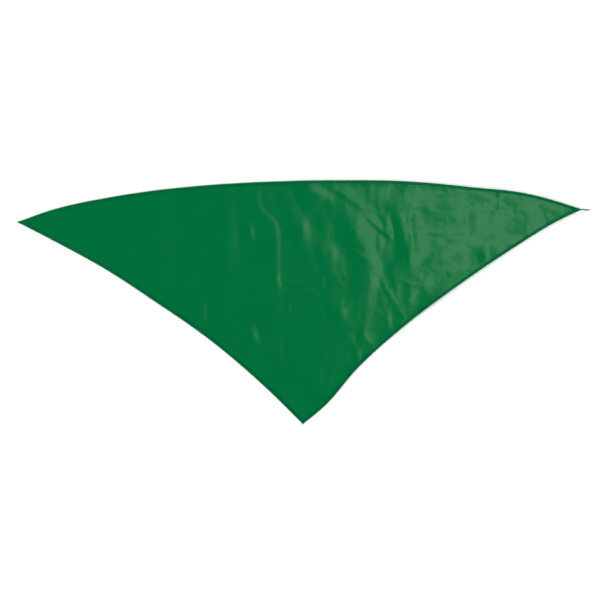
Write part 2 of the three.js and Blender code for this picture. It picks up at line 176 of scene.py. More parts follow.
# The bright right part
RIGHT_FOLDS = (
    ("spot beside the valley",
     ((194, 156), (194, 135)), (0.14, 0.44, 0.14), 7, 12),
    ("line beside the valley",
     ((197, 131), (199, 92)), (0.14, 0.44, 0.17), 7, 12),
    ("patch below the valley line",
     ((194, 98), (197, 57)), (0.2, 0.68, 0.2), 11, 19),
    ("rim over the dark lens",
     ((226, 176), (256, 170), (288, 172), (330, 167)), (0.14, 0.27, 0.14), 9, 16),
    ("low fold along the right part",
     ((231, 163), (263, 151), (296, 147), (337, 146)), (0.17, 0.41, 0.17), 14, 18),
    ("level crease",
     ((219, 123), (256, 121), (289, 124)), (0.2, 0.44, 0.17), 7, 11),
    ("foot of the bright patch",
     ((236, 71), (259, 89), (288, 108), (319, 124)), (0.59, 1.36, 0.68), 37, 19),
    ("dark band behind the bright patch",
     ((316, 61), (332, 82), (346, 100)), (0.42, 1.02, 0.42), 18, 25),
    ("upright lip of the bright patch",
     ((298, 135), (300, 114)), (0.07, 0.17, 0.07), 11, 21),
    ("level fold towards the right edge",
     ((330, 117), (353, 119), (380, 121)), (0.27, 0.71, 0.27), 16, 14),
    ("pucker at the right edge",
     ((327, 89), (328, 68)), (0.2, 0.51, 0.34), 14, 23),
    ("broad rise above the right edge",
     ((224, -7), (263, 22), (302, 53)), (0.85, 1.61, 0.68), 78, 28),
    ("low fold at the right edge",
     ((227, 57), (259, 53), (288, 53)), (0.1, 0.27, 0.1), 9, 9),
    ("small fold at the right edge",
     ((222, 39), (224, 16)), (0.14, 0.34, 0.14), 14, 16),
    ("upright crease near the tip",
     ((353, 206), (353, 181), (353, 158)), (0.37, 0.41, 0.24), 6, 32),
    ("lower lip of the level crease",
     ((351, 167), (369, 167), (385, 167)), (0.14, 0.31, 0.1), 7, 12),
    ("fold towards the right tip",
     ((426, 172), (426, 153), (420, 133)), (0.44, 0.75, 0.44), 23, 27),
    ("speck near the tip",
     ((443, 158), (443, 153)), (0.17, 0.34, 0.17), 7, 9),
    ("second speck near the tip",
     ((433, 147), (433, 142)), (0.17, 0.34, 0.17), 7, 9),
)
# The smooth left part
LEFT_FOLDS = (
    ("broad wave",
     ((-247, 190), (-252, 92), (-249, 18)), (0.85, 1.7, 0.68), 50, 35),
    ("mark at the left edge",
     ((-174, 6), (-173, -17), (-173, -44)), (0.17, 0.85, 0.26), 25, 12),
    ("second wave",
     ((-201, 48), (-199, 0)), (0.34, 0.85, 0.34), 25, 25),
    ("wave beside the left tip",
     ((-367, 172), (-360, 114)), (0.51, 1.02, 0.51), 39, 39),
    ("wave left of the centre",
     ((-137, 190), (-130, 110), (-130, 22)), (0.51, 1.02, 0.51), 35, 28),
)
FOLDS = CENTRE_FOLDS + TOP_FOLDS + CRUMPLED_FOLDS + RIGHT_FOLDS + LEFT_FOLDS

# Width over which the cloth comes down from each overlocked edge, in metres
LONG_EDGE_RAMP = 0.006
LEFT_EDGE_RAMP = 0.030
RIGHT_EDGE_RAMP = 0.011
POINT_BLEND = 0.1  # width round the point over which one short edge's ramp turns into the other's
EDGE_SAMPLES = 4001  # points at which an edge's course is worked out
EDGE_ROOM = 0.4  # least distance of a grid row from the edge, as a share of the mesh pitch
SHORTEST_COLUMN = 0.2  # shorter columns of the mesh, by the same measure, are left out

# How crumpled the cloth is, from its smooth left part to its right part. Each row: X in
# millimetres, share of the upright, of the level and of the small crumples, share of the swells
CRUMPLE_AT = (
    (-500, 0.15, 0.05, 0.00, 0.00), (0, 0.15, 0.05, 0.02, 0.00), (60, 0.30, 0.15, 0.08, 0.05),
    (150, 0.35, 0.35, 0.08, 0.15), (230, 0.20, 0.70, 0.05, 0.60), (500, 0.15, 0.70, 0.05, 0.60),
)
# Waves of the crumples. Each row: stretch of X and of Y, size as a share of the crumple size, seed
UPRIGHT_WAVES = (1.0, 0.5, 0.8, 11)
UPRIGHT_RIPPLES = (1.0, 0.7, 0.35, 23)
LEVEL_WAVES = (0.6, 1.0, 1.25, 37)
LEVEL_RIPPLES = (0.7, 1.0, 0.5, 41)
SMALL_WAVES = (1.0, 1.0, 0.3, 53)
SWELLS = (1.0, 1.0, 1.6, 61)
UPRIGHT_HEIGHT = 0.6  # height of the upright crumples, as a share of the level ones
UPRIGHT_RIPPLE_HEIGHT = 0.35  # height of the ripples on them, as a share of their own
LEVEL_RIPPLE_HEIGHT = 0.3
NOISE_TURNS = 256  # random turns along each side of the noise's table
NOISE_START = 100  # keeps the cloth's places in the table positive
NOISE_GAIN = 1.5  # brings the noise up to about 1

# The stage
FLOOR_SIZE = 60.0
FLOOR_GAP = 0.0002  # how far the floor lies below the cloth
SENSOR_WIDTH = 36.0  # millimetres
TENT_RIM = (0.5, 0.66)  # upward share of the direction at which the light tent ends
LOWEST_UP = 0.05  # least upward share at which the overhead window's slope is worked out

# The thread chain at the right tip
LOOP_SHAPE = (1.55, 0.85, 0.8)  # stretch of each round loop along, across and upwards
LOOP_TILT = math.radians(28)  # each loop leans to the other side than the one before
CHAIN_START = 0.2  # where the first loop's middle lies, in loops from the tip
CHAIN_WAVE = 0.0004  # how far the chain wanders to each side
CHAIN_WAVE_TURN = 1.3  # how far its wave goes on from loop to loop, in radians
CHAIN_LEVEL = 1.3  # height of the loops' middle, in thread thicknesses
CHAIN_CLEARANCE = 0.00002  # the loops lie this far above the surface or higher

# Softboxes round the set: name, and the way to each from the set
SOFTBOXES = (
    ("softbox_right", (2.3, 0.5, 1.9)),
    ("softbox_back", (-0.6, 2.3, 2.1)),
    ("softbox_left", (-2.3, -0.4, 2.1)),
    ("softbox_front", (0.6, -2.3, 2.1)),
)


class ClothSettings(bpy.types.PropertyGroup):
    """Sizes and colours of the cloth"""

    span: FloatProperty(
        name="Span", description="From tip to tip", default=1.0, unit="LENGTH")
    point_drop: FloatProperty(
        name="Point drop", description="From the line of the tips down to the point",
        default=0.369, unit="LENGTH")
    point_shift: FloatProperty(
        name="Point shift", description="How far the point lies right of the middle",
        default=0.006, unit="LENGTH")
    tip_rise: FloatProperty(
        name="Tip rise", description="How much further back the right tip lies",
        default=0.022, unit="LENGTH")
    thickness: FloatProperty(
        name="Thickness", description="Thickness of the satin",
        default=0.0004, precision=5, unit="LENGTH")
    pitch: FloatProperty(
        name="Mesh pitch", description="Distance between the points of the cloth's mesh",
        default=0.0022, precision=5, unit="LENGTH")
    fold_scale: FloatProperty(
        name="Fold height", description="Height of the folds, as a share of the table's heights",
        default=1.0, min=0.0, max=2.0)
    crumple_height: FloatProperty(
        name="Crumple height", description="Height of the fine crumples",
        default=0.0014, precision=5, unit="LENGTH")
    crumple_size: FloatProperty(
        name="Crumple size", description="Width of the larger crumples",
        default=0.034, precision=4, unit="LENGTH")
    weave_pitch: FloatProperty(
        name="Weave pitch", description="Distance between two threads of the weave",
        default=0.00045, precision=5, unit="LENGTH")
    face_hex: StringProperty(
        name="Face colour", description="Colour of the satin's face, as sRGB hex", default="#006334")
    back_hex: StringProperty(
        name="Back colour", description="Colour of the satin's dull back", default="#005c31")


class OverlockSettings(bpy.types.PropertyGroup):
    """Sizes and colour of the overlock thread and its chain"""

    width: FloatProperty(
        name="Width", description="From the raw edge to the needle line",
        default=0.006, precision=4, unit="LENGTH")
    thread: FloatProperty(
        name="Thread", description="Thickness of the wound thread",
        default=0.0008, precision=5, unit="LENGTH")
    pitch: FloatProperty(
        name="Pitch", description="Distance between two windings",
        default=0.00098, precision=5, unit="LENGTH")
    needle_pitch: FloatProperty(
        name="Needle stitch", description="Length of one needle stitch",
        default=0.0024, precision=4, unit="LENGTH")
    chain_length: FloatProperty(
        name="Chain length", description="Length of the thread chain left at the right tip",
        default=0.013, precision=4, unit="LENGTH")
    chain_links: IntProperty(
        name="Chain links", description="Loops in the thread chain", default=7, min=2)
    chain_turn: FloatProperty(
        name="Chain turn", description="Way in which the chain lies, turned from the X axis",
        default=math.radians(-3), subtype="ANGLE")
    thread_hex: StringProperty(
        name="Thread colour", description="Colour of the overlock thread", default="#005a33")


class StudioSettings(bpy.types.PropertyGroup):
    """Camera, floor and light"""

    camera_height: FloatProperty(
        name="Camera height", description="Height of the camera above the floor",
        default=1.4747, unit="LENGTH")
    lens: FloatProperty(
        name="Lens", description="Focal length in millimetres", default=50.0)
    aim: FloatVectorProperty(
        name="Aim", description="Place on the floor under the camera",
        size=2, default=(0.0009, 0.0039), precision=4, unit="LENGTH")
    tent_level: FloatProperty(
        name="Tent light", description="Brightness of the light tent round the set", default=1.0)
    window_start: FloatProperty(
        name="Window start", description="Where the overhead window begins, as a slope to the side",
        default=0.03)
    window_blend: FloatProperty(
        name="Window blend", description="Over which slope the overhead window grows bright",
        default=0.31)
    window_fade_start: FloatProperty(
        name="Window fade start", description="Slope at which the overhead window begins to fade",
        default=0.26)
    window_fade_end: FloatProperty(
        name="Window fade end", description="Slope at which the overhead window has faded",
        default=0.32)
    window_fade: FloatProperty(
        name="Window fade", description="Share of its light that the window keeps far to the side",
        default=0.15)
    window_turn: FloatProperty(
        name="Window turn", description="Turn of the overhead window towards the back",
        default=math.radians(20), subtype="ANGLE")
    window_level: FloatProperty(
        name="Window level", description="Brightness of the overhead window", default=2.9)
    softbox_level: FloatProperty(
        name="Softboxes", description="Light of each far softbox, in watts a square metre",
        default=0.9)
    softbox_angle: FloatProperty(
        name="Softbox angle", description="How wide each far softbox is, as seen from the set",
        default=math.radians(22), subtype="ANGLE")
    floor_hex: StringProperty(
        name="Floor colour", description="Colour of the pale floor", default="#f2f4f3")


def linear(hex_colour, alpha=1.0):
    """An sRGB hex colour as linear red, green, blue and alpha."""
    channels = []
    for i in (1, 3, 5):
        value = int(hex_colour[i:i + 2], 16) / 255
        channels.append(value / 12.92 if value <= 0.04045 else ((value + 0.055) / 1.055) ** 2.4)
    return (*channels, alpha)


def add_node(tree, kind, inputs=None, **settings):
    """Adds a node with its settings. Each input is a value, or the output socket it reads."""
    node = tree.nodes.new(kind)
    for name, value in settings.items():
        setattr(node, name, value)
    for name, value in (inputs or {}).items():
        if isinstance(value, bpy.types.NodeSocket):
            tree.links.new(value, node.inputs[name])
        else:
            node.inputs[name].default_value = value
    return node


# Outline and relief of the cloth, in metres


def curve_through(stations, share):
    """Smooth curve through a table of (at, value) rows, read at the given shares."""
    at, value = np.array(stations).T
    step = np.diff(at)
    chord = np.diff(value) / step
    slope = np.empty(len(at))
    slope[1:-1] = (chord[:-1] * step[1:] + chord[1:] * step[:-1]) / (step[:-1] + step[1:])
    slope[0] = 1.5 * chord[0] - 0.5 * slope[1]
    slope[-1] = 1.5 * chord[-1] - 0.5 * slope[-2]
    i = np.clip(np.searchsorted(at, share, side="right") - 1, 0, len(at) - 2)
    u = (share - at[i]) / step[i]
    bend = u * u * (3 - 2 * u)
    rise = u * (1 - u) * step[i] * ((1 - u) * slope[i] - u * slope[i + 1])
    return value[i] + bend * (value[i + 1] - value[i]) + rise


class Edge:
    """One edge of the cloth, bowed between two corners. side is 1 where the cloth lies left of
    the direction of travel and -1 where it lies right of it."""

    def __init__(self, start, end, stations, side):
        self.start = np.array(start)
        self.along = np.array(end) - self.start
        self.length = np.hypot(*self.along)
        self.along = self.along / self.length
        self.inwards = side * np.array((-self.along[1], self.along[0]))
        self.stations = stations
        self.side = side

    def at(self, share):
        """Points at the given shares of the way along the edge."""
        bow = curve_through(self.stations, share) * self.length
        return (self.start + np.multiply.outer(share * self.length, self.along)
                - np.multiply.outer(bow, self.inwards))

    def direction(self, share):
        """Ways in which the edge runs there, each of length 1."""
        near = 0.002
        step = self.at(np.minimum(share + near, 1)) - self.at(np.maximum(share - near, 0))
        return step / np.hypot(step[:, 0], step[:, 1])[:, None]

    def inside(self, share, distance):
        """Points that lie inside the edge by the given distance."""
        way = self.direction(share)
        inwards = self.side * np.stack((-way[:, 1], way[:, 0]), axis=1)
        return self.at(share) + inwards * np.reshape(distance, (-1, 1))


class Outline:
    """The three edges, with the middle of their box over the origin."""

    def __init__(self, settings):
        tip_left = np.array((-settings.span / 2, -settings.tip_rise / 2))
        tip_right = np.array((settings.span / 2, settings.tip_rise / 2))
        point = np.array((settings.point_shift, -settings.point_drop))
        edges = self.between(tip_left, tip_right, point)
        line = np.concatenate([edge.at(np.linspace(0, 1, 2001)) for edge in edges])
        middle = (line.min(axis=0) + line.max(axis=0)) / 2
        corners = (tip_left - middle, tip_right - middle, point - middle)
        self.long, self.left, self.right = self.between(*corners)
        self.point = corners[2]
        self.shares = np.linspace(0, 1, EDGE_SAMPLES)

    @staticmethod
    def between(tip_left, tip_right, point):
        return (
            Edge(tip_left, tip_right, LONG_EDGE_BOW, -1),
            Edge(tip_left, point, LEFT_EDGE_BOW, 1),
            Edge(point, tip_right, RIGHT_EDGE_BOW, 1),
        )

    def top(self, x, inset):
        """Y of the long edge at the given X, moved into the cloth by inset."""
        line = self.long.inside(self.shares, inset)
        return np.interp(x, line[:, 0], line[:, 1])

    def bottom(self, x, inset):
        """Y of the short edge at the given X, moved into the cloth by inset."""
        left = self.left.inside(self.shares, inset)
        right = self.right.inside(self.shares, inset)
        left = left[left[:, 0] <= self.point[0]]
        right = right[right[:, 0] > self.point[0]]
        line = np.concatenate((left, right))
        return np.interp(x, line[:, 0], line[:, 1])

    def edge_lift(self, x, y, settings):
        """How much of the thread's thickness the cloth near an edge is held up by."""
        right_share = smoothstep((x - self.point[0]) / POINT_BLEND + 0.5)
        ramp = LEFT_EDGE_RAMP + (RIGHT_EDGE_RAMP - LEFT_EDGE_RAMP) * right_share
        from_top = self.top(x, 0.0) - y
        from_bottom = (y - self.bottom(x, 0.0)) * math.cos(SHORT_EDGE_LEAN)
        top = 1 - smoothstep((from_top - settings.width) / LONG_EDGE_RAMP)
        bottom = 1 - smoothstep((from_bottom - settings.width) / ramp)
        return np.maximum(top, bottom)


def smoothstep(u):
    """Eases from 0 to 1 as u goes from 0 to 1."""
    u = np.clip(u, 0, 1)
    return u * u * (3 - 2 * u)


def crest_line(points, steps=8):
    """A smooth line through the crest's points."""
    p = np.array(points, dtype=float) * MM
    last = len(p) - 1
    t = np.linspace(0, last, steps * last + 1)
    i = np.minimum(t.astype(int), last - 1)
    w = (t - i)[:, None]
    before, after = p[np.maximum(i - 1, 0)], p[np.minimum(i + 2, last)]
    here, there = p[i], p[i + 1]
    out, back = (there - before) / 2, (after - here) / 2
    return ((2 * here - 2 * there + out + back) * w ** 3
            + (3 * there - 3 * here - 2 * out - back) * w ** 2 + out * w + here)


def fold_height(x, y, crest, heights, west, east):
    """Height of one fold at the given points."""
    line = crest_line(crest)
    nearest = np.full(x.shape, np.inf)
    side = np.zeros(x.shape)
    share = np.zeros(x.shape)
    for i in range(len(line) - 1):
        step = line[i + 1] - line[i]
        off_x, off_y = x - line[i][0], y - line[i][1]
        u = np.clip((off_x * step[0] + off_y * step[1]) / (step @ step), 0, 1)
        distance = np.hypot(off_x - u * step[0], off_y - u * step[1])
        closer = distance < nearest
        turn = (step[0] * off_y - step[1] * off_x) / np.hypot(*step)
        nearest[closer] = distance[closer]
        side[closer] = (turn / np.maximum(distance, 1e-9))[closer]
        share[closer] = ((i + u) / (len(line) - 1))[closer]
    width = (west + (east - west) * (0.5 + 0.5 * side)) * MM
    start, middle, end = heights
    crest_height = np.where(
        share < 0.5,
        start + (middle - start) * smoothstep(share * 2),
        middle + (end - middle) * smoothstep(share * 2 - 1),
    )
    return crest_height * MM * (1 - smoothstep(nearest / width))


def wave_noise(x, y, size, seed):
    """Smooth noise from -1 to 1 with waves of the given size."""
    rng = np.random.default_rng(seed)
    angle = rng.uniform(0, math.pi)
    u = (x * math.cos(angle) + y * math.sin(angle)) / size + NOISE_START
    v = (y * math.cos(angle) - x * math.sin(angle)) / size + NOISE_START
    turns = rng.uniform(0, 2 * math.pi, (NOISE_TURNS, NOISE_TURNS))
    i, j = u.astype(int), v.astype(int)
    fu, fv = u - i, v - j
    bend_u = fu ** 3 * (fu * (fu * 6 - 15) + 10)
    bend_v = fv ** 3 * (fv * (fv * 6 - 15) + 10)

    def corner(di, dj):
        turn = turns[(i + di) % NOISE_TURNS, (j + dj) % NOISE_TURNS]
        return np.cos(turn) * (fu - di) + np.sin(turn) * (fv - dj)

    low = corner(0, 0) * (1 - bend_u) + corner(1, 0) * bend_u
    high = corner(0, 1) * (1 - bend_u) + corner(1, 1) * bend_u
    return (low * (1 - bend_v) + high * bend_v) * NOISE_GAIN


def crumple_height(x, y, size):
    """Fine crumples as shares of their height: soft facets with sharper creases between them."""

    def waves(row):
        stretch_x, stretch_y, share, seed = row
        return wave_noise(x * stretch_x, y * stretch_y, size * share, seed)

    at, upright_share, level_share, small_share, swell_share = np.array(CRUMPLE_AT).T
    upright = (2 - np.abs(waves(UPRIGHT_WAVES))
               - UPRIGHT_RIPPLE_HEIGHT * np.abs(waves(UPRIGHT_RIPPLES)))
    level = 2 - np.abs(waves(LEVEL_WAVES)) - LEVEL_RIPPLE_HEIGHT * np.abs(waves(LEVEL_RIPPLES))
    small = 1 - np.abs(waves(SMALL_WAVES))
    swell = 1 + waves(SWELLS)
    return (UPRIGHT_HEIGHT * upright * np.interp(x / MM, at, upright_share)
            + level * np.interp(x / MM, at, level_share)
            + small * np.interp(x / MM, at, small_share)
            + swell * np.interp(x / MM, at, swell_share))


def relief(x, y, settings):
    """Height of the cloth's folds and crumples above the flat cloth."""
    height = np.zeros(x.shape)
    for _, crest, heights, west, east in FOLDS:
        reach = max(west, east) * MM
        points = np.array(crest) * MM
        low, high = points.min(axis=0) - 2 * reach, points.max(axis=0) + 2 * reach
        near = (x > low[0]) & (x < high[0]) & (y > low[1]) & (y < high[1])
        height[near] += fold_height(x[near], y[near], crest, heights, west, east)
    height *= settings.fold_scale
    return height + settings.crumple_height * crumple_height(x, y, settings.crumple_size)


# Helpers for the pieces


def new_piece(name, points, faces, nodes, material):
    """A mesh piece at the origin that stands for CAD nodes and rides on the body."""
    mesh = bpy.data.meshes.new(name)
    mesh.from_pydata(points.tolist(), [], faces)
    mesh.validate()
    mesh.update()
    mesh.shade_smooth()
    piece = bpy.data.objects.new(name, mesh)
    bpy.context.scene.collection.objects.link(piece)
    mesh.materials.append(material)
    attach(piece, BODY)
    if nodes:
        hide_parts(*nodes)
    return piece


def deselect_all():
    """Leaves edit mode and selects nothing, because an operator acts on all that is selected."""
    if bpy.context.object and bpy.context.object.mode != "OBJECT":
        bpy.ops.object.mode_set(mode="OBJECT")
    bpy.ops.object.select_all(action="DESELECT")


# Materials


def shader_tree(name):
    """An empty material with its Principled shader."""
    material = bpy.data.materials.new(name)
    material.use_nodes = True
    tree = material.node_tree
    tree.nodes.clear()
    shader = add_node(tree, "ShaderNodeBsdfPrincipled")
    output = add_node(tree, "ShaderNodeOutputMaterial")
    tree.links.new(shader.outputs["BSDF"], output.inputs["Surface"])
    return material, tree, shader


def tinted(tree, where, colour_hex, scale, spread):
    """The colour, slightly lighter and darker in soft clouds."""
    clouds = add_node(tree, "ShaderNodeTexNoise", {"Vector": where, "Scale": scale, "Detail": 4.0})
    ramp = add_node(tree, "ShaderNodeValToRGB", {"Fac": clouds.outputs["Fac"]})
    base = linear(colour_hex)
    for stop, place, gain in zip(ramp.color_ramp.elements, (0.3, 0.7), (1 - spread, 1 + spread)):
        stop.position = place
        stop.color = (*(channel * gain for channel in base[:3]), 1.0)
    return ramp.outputs["Color"]


def satin_material(name, colour_hex, settings, roughness, thread_depth):
    """Woven polyester satin. Its long floating threads lie side by side, so the face has a soft
    gloss; its back shows the short crossing threads and is dull."""
    material, tree, shader = shader_tree(name)
    where = add_node(tree, "ShaderNodeTexCoord").outputs["Object"]
    # The cloth was cut with its threads along the two short edges. A real thread is about 0.1 mm
    # wide; the weave pitch is coarser, so that it shows close by. A wave texture of scale 1 has
    # 10 / pi waves to a metre.
    line_scale = math.pi / (10 * settings.weave_pitch)
    heights = []
    for turn in WEAVE_TURNS:
        along = add_node(tree, "ShaderNodeMapping", {
            "Vector": where, "Rotation": (0.0, 0.0, math.radians(90 - turn)),
        })
        lines = add_node(tree, "ShaderNodeTexWave", {
            "Vector": along.outputs["Vector"], "Scale": line_scale, "Distortion": 0.6,
            "Detail": 1.0,
        }, wave_type="BANDS", bands_direction="X")
        heights.append(lines.outputs["Fac"])
    weave = add_node(tree, "ShaderNodeMath", operation="MULTIPLY")
    tree.links.new(heights[0], weave.inputs[0])
    tree.links.new(heights[1], weave.inputs[1])
    threads = add_node(tree, "ShaderNodeBump", {
        "Height": weave.outputs["Value"], "Distance": thread_depth, "Strength": 0.2,
    })
    ripple_size = 0.016
    ripples = add_node(tree, "ShaderNodeTexNoise", {
        "Vector": where, "Scale": 1 / ripple_size, "Detail": 3.0, "Roughness": 0.55,
    })
    surface = add_node(tree, "ShaderNodeBump", {
        "Height": ripples.outputs["Fac"], "Distance": 0.0001, "Strength": 0.3,
        "Normal": threads.outputs["Normal"],
    })
    tree.links.new(tinted(tree, where, colour_hex, 18.0, 0.03), shader.inputs["Base Color"])
    tree.links.new(surface.outputs["Normal"], shader.inputs["Normal"])
    shader.inputs["Roughness"].default_value = roughness
    shader.inputs["IOR"].default_value = 1.5
    # Part of the gloss comes back from between the dyed threads, so it is tinted
    shader.inputs["Specular Tint"].default_value = (0.65, 1.0, 0.67, 1.0)
    return material


def thread_material(name, colour_hex):
    """Spun polyester sewing thread: matt, with fine short fibres all over it."""
    material, tree, shader = shader_tree(name)
    where = add_node(tree, "ShaderNodeTexCoord").outputs["Object"]
    fibre_size = 0.0004
    fibres = add_node(tree, "ShaderNodeTexNoise", {
        "Vector": where, "Scale": 1 / fibre_size, "Detail": 2.0,
    })
    surface = add_node(tree, "ShaderNodeBump", {
        "Height": fibres.outputs["Fac"], "Distance": 0.00008, "Strength": 0.6,
    })
    tree.links.new(tinted(tree, where, colour_hex, 400.0, 0.10), shader.inputs["Base Color"])
    tree.links.new(surface.outputs["Normal"], shader.inputs["Normal"])
    shader.inputs["Roughness"].default_value = 0.85
    shader.inputs["Specular IOR Level"].default_value = 0.04
    # Fine fibres stand off the thread and light up where it turns away from the eye
    shader.inputs["Sheen Weight"].default_value = 1.0
    shader.inputs["Sheen Roughness"].default_value = 0.4
    shader.inputs["Sheen Tint"].default_value = (0.02, 1.0, 0.35, 1.0)
    return material


# The pieces


def zip_columns(left_index, right_index, left_y, right_y, faces):
    """Faces between two neighbouring columns of points, quads where their rows are level."""
    same = 1e-9
    i = j = 0
    while i < len(left_y) - 1 or j < len(right_y) - 1:
        can_left, can_right = i < len(left_y) - 1, j < len(right_y) - 1
        level = abs(left_y[i] - right_y[j]) < same
        if can_left and can_right and level and abs(left_y[i + 1] - right_y[j + 1]) < same:
            faces.append((left_index + i, right_index + j, right_index + j + 1, left_index + i + 1))
            i, j = i + 1, j + 1
        elif can_left and (not can_right or left_y[i + 1] <= right_y[j + 1]):
            faces.append((left_index + i, right_index + j, left_index + i + 1))
            i += 1
        else:
            faces.append((left_index + i, right_index + j, right_index + j + 1))
            j += 1


class NECKERCHIEF_OT_cloth(bpy.types.Operator):
    """The satin cloth, one sheet with its folds"""

    bl_idname = "neckerchief.cloth"
    bl_label = "Satin cloth"

    def execute(self, context):
        settings = context.scene.cloth_settings
        overlock = context.scene.overlock_settings
        thread = overlock.thread
        outline = Outline(settings)
        pitch = settings.pitch
        # Columns of points from tip to tip. Each has its rows on a level grid, and a point of its
        # own on each edge. The last few threads of a tip hold no cloth.
        reach = settings.span / 2 - 4 * thread
        columns = np.linspace(-reach, reach, int(round(2 * reach / pitch)) + 1)
        top, bottom = outline.top(columns, thread), outline.bottom(columns, thread)
        points, faces, starts, rows = [], [], [], []
        for x, high, low in zip(columns, top, bottom):
            if high - low < SHORTEST_COLUMN * pitch:
                continue
            first = math.ceil(low / pitch + EDGE_ROOM)
            last = math.floor(high / pitch - EDGE_ROOM)
            levels = [low, *(pitch * k for k in range(first, last + 1)), high]
            starts.append(len(points))
            rows.append(levels)
            points.extend((x, y, 0.0) for y in levels)
        for i in range(len(rows) - 1):
            zip_columns(starts[i], starts[i + 1], rows[i], rows[i + 1], faces)
        points = np.array(points)
        x, y = points[:, 0], points[:, 1]
        held = outline.edge_lift(x, y, overlock) * thread * THREAD_FLATNESS
        points[:, 2] = relief(x, y, settings) + held + settings.thickness / 2
        face = satin_material(
            "woven polyester satin", settings.face_hex, settings,
            roughness=0.16, thread_depth=0.00001)
        piece = new_piece("satin_cloth", points, faces, ["cloth_panel"], face)
        piece.data.materials.append(satin_material(
            "satin back", settings.back_hex, settings, roughness=0.6, thread_depth=0.00002))
        deselect_all()
        piece.select_set(True)
        context.view_layer.objects.active = piece
        wall = piece.modifiers.new("wall", "SOLIDIFY")
        wall.thickness = settings.thickness
        wall.offset = 0.0
        wall.material_offset = 1
        bpy.ops.object.modifier_apply(modifier=wall.name)
        return {"FINISHED"}


def model_winding(settings, cloth_thickness):
    """One thread wound over the raw edge, as a tube in edit mode: +Y is into the cloth."""
    radius = settings.thread / 2
    level = cloth_thickness / 2 + radius * THREAD_FLATNESS
    reach = settings.width
    deselect_all()
    bpy.ops.mesh.primitive_circle_add(
        vertices=5, radius=radius, fill_type="NGON",
        location=(0, reach, level), rotation=(math.pi / 2, 0, 0))
    thread = bpy.context.object
    bpy.ops.object.mode_set(mode="EDIT")
    bpy.ops.transform.resize(value=(1, 1, THREAD_FLATNESS))
    slant = settings.pitch * 0.5
    # Over the face from the needle line to the raw edge: steps along the edge, inwards and up
    for along, inwards, up in ((0.35, -0.33, 0.05), (0.35, -0.33, 0.0), (0.3, -0.26, -0.05)):
        bpy.ops.mesh.extrude_region_move(TRANSFORM_OT_translate={
            "value": (along * slant, inwards * reach, up * radius)})
    # Round the raw edge
    for _ in range(3):
        bpy.ops.mesh.extrude_region_move(TRANSFORM_OT_translate={"value": (0, 0, 0)})
        bpy.ops.transform.rotate(
            value=math.radians(60), orient_axis="X", center_override=(slant, 0.08 * reach, 0))
    # Back under the cloth
    for inwards in (0.45, 0.45):
        bpy.ops.mesh.extrude_region_move(TRANSFORM_OT_translate={
            "value": (-slant / 2, inwards * reach, 0)})
    bpy.ops.mesh.select_all(action="SELECT")
    bpy.ops.mesh.remove_doubles(threshold=1e-6)
    bpy.ops.mesh.normals_make_consistent(inside=False)
    bpy.ops.object.mode_set(mode="OBJECT")
    bpy.ops.object.transform_apply(location=True, rotation=True, scale=True)
    return thread


def model_needle_stitch(settings, cloth_thickness):
    """One stitch of the needle thread on the face, as a short spindle with dipped ends."""
    radius = settings.thread * 0.5
    level = cloth_thickness / 2 + settings.thread * (THREAD_FLATNESS + 0.3)
    length = settings.needle_pitch * 0.86
    deselect_all()
    bpy.ops.mesh.primitive_circle_add(
        vertices=5, radius=radius * 0.55, fill_type="NGON",
        location=(-length / 2, settings.width * 0.86, level - radius * 1.2),
        rotation=(0, math.pi / 2, 0))
    stitch = bpy.context.object
    bpy.ops.object.mode_set(mode="EDIT")
    # Up out of the cloth, along it and down again: steps along and up, then the thread's growth
    for along, up, size in ((0.2, 1.2, 1.7), (0.6, 0.0, 1.0), (0.2, -1.2, 0.6)):
        bpy.ops.mesh.extrude_region_move(TRANSFORM_OT_translate={
            "value": (along * length, 0, up * radius)})
        bpy.ops.transform.resize(value=(size, size, size))
    bpy.ops.mesh.select_all(action="SELECT")
    bpy.ops.mesh.normals_make_consistent(inside=False)
    bpy.ops.object.mode_set(mode="OBJECT")
    bpy.ops.object.transform_apply(location=True, rotation=True, scale=True)
    return stitch


def take_shape(model):
    """The points and faces of a modelled shape, which is then removed."""
    mesh = model.data
    points = np.array([vertex.co[:] for vertex in mesh.vertices])
    faces = [tuple(face.vertices) for face in mesh.polygons]
    bpy.data.objects.remove(model)
    bpy.data.meshes.remove(mesh)
    return points, faces


def along_edge(edge, shape, pitch, settings, cloth_settings, start_angle, end_angle):
    """Copies of a shape laid along an edge: X follows the edge, Y goes into the cloth. Near a
    corner they grow shorter, and keep to their own side of its mitre."""
    points, faces = shape
    fine = np.linspace(0, 1, EDGE_SAMPLES)
    line = edge.at(fine)
    run = np.concatenate(([0], np.cumsum(np.hypot(*np.diff(line, axis=0).T))))
    count = int(run[-1] / pitch)
    places = (np.arange(count) + 0.5) * run[-1] / count
    along = places[:, None] + points[None, :, 0]
    share = np.interp(along.ravel(), run, fine)
    from_start, from_end = along.ravel(), run[-1] - along.ravel()
    room = np.minimum(from_start * math.tan(start_angle), from_end * math.tan(end_angle))
    least = 0.12
    squeeze = np.clip(room / settings.width, least, 1.0)
    inwards = np.tile(points[:, 1], count)
    inwards = np.where(inwards > 0, inwards * squeeze, inwards)
    flat = edge.inside(share, inwards)
    lift = relief(flat[:, 0], flat[:, 1], cloth_settings)
    level = lift + settings.thread * THREAD_FLATNESS + cloth_settings.thickness / 2
    level += np.tile(points[:, 2], count)
    copies = np.column_stack((flat, level))
    step = len(points)
    # Where the cloth lies right of the edge the copies are mirrored, so their faces are turned
    mirrored = edge.side < 0
    made = []
    for k in range(count):
        for face in faces:
            corners = [k * step + index for index in face]
            made.append(tuple(reversed(corners) if mirrored else corners))
    return copies, made


